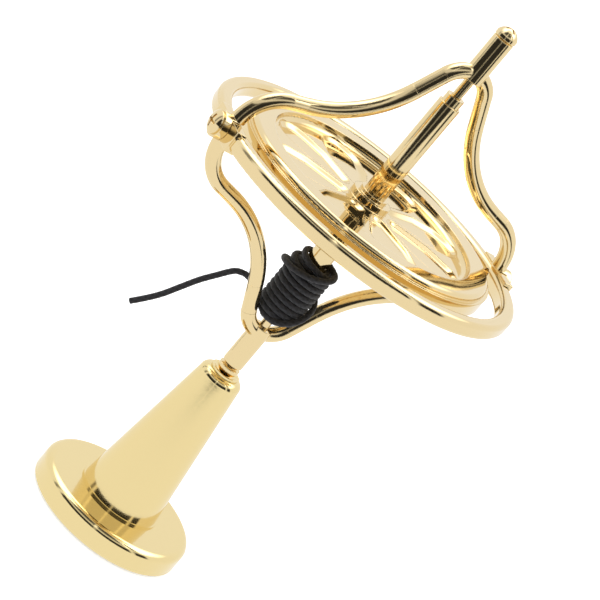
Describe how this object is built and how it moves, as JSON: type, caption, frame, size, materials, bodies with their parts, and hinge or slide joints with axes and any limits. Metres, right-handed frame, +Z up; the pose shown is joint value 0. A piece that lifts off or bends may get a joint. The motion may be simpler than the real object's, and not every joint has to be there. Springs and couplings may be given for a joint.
{
  "type": "gyroscope on stand",
  "caption": "Polished brass-coloured toy gyroscope with leaf-spoked flywheel and bent loop frame, standing on a turned cone pedestal, with its black pull cord wound on the axle.",
  "frame": {"origin": "centre of the foot's underside, on the surface that the stand stands on", "axes": "+Z up along the axle, +X along the loop's plane towards the right side screw, +Y to the back"},
  "size_m": [0.068, 0.063, 0.113],
  "materials": {
    "polished_gold": "polished",
    "satin_gold": "satin",
    "braided_cord": "matte braid"
  },
  "bodies": {
    "stand": {"stand_foot": "satin_gold", "stand_column": "satin_gold"},
    "pivot": {"bottom_pivot_screw": "polished_gold"},
    "frame": {"frame_loop": "polished_gold", "frame_ring": "polished_gold", "left_side_screw": "polished_gold", "right_side_screw": "polished_gold", "top_pivot_screw": "polished_gold", "cord_winding": "braided_cord", "cord_tail": "braided_cord"},
    "rotor": {"flywheel": "polished_gold", "axle": "polished_gold"}
  },
  "joints": [
    {"name": "gyro_lift", "type": "slide", "parent": "stand", "child": "pivot", "axis": [0, 0, 1], "range_m": [0, 0.04]},
    {"name": "gyro_turn", "type": "hinge", "parent": "pivot", "child": "frame", "pos_m": [0, 0, 0.0346], "axis": [0, 0, 1], "continuous": true},
    {"name": "rotor_spin", "type": "hinge", "parent": "frame", "child": "rotor", "pos_m": [0, 0, 0.074], "axis": [0, 0, 1], "continuous": true}
  ]
}
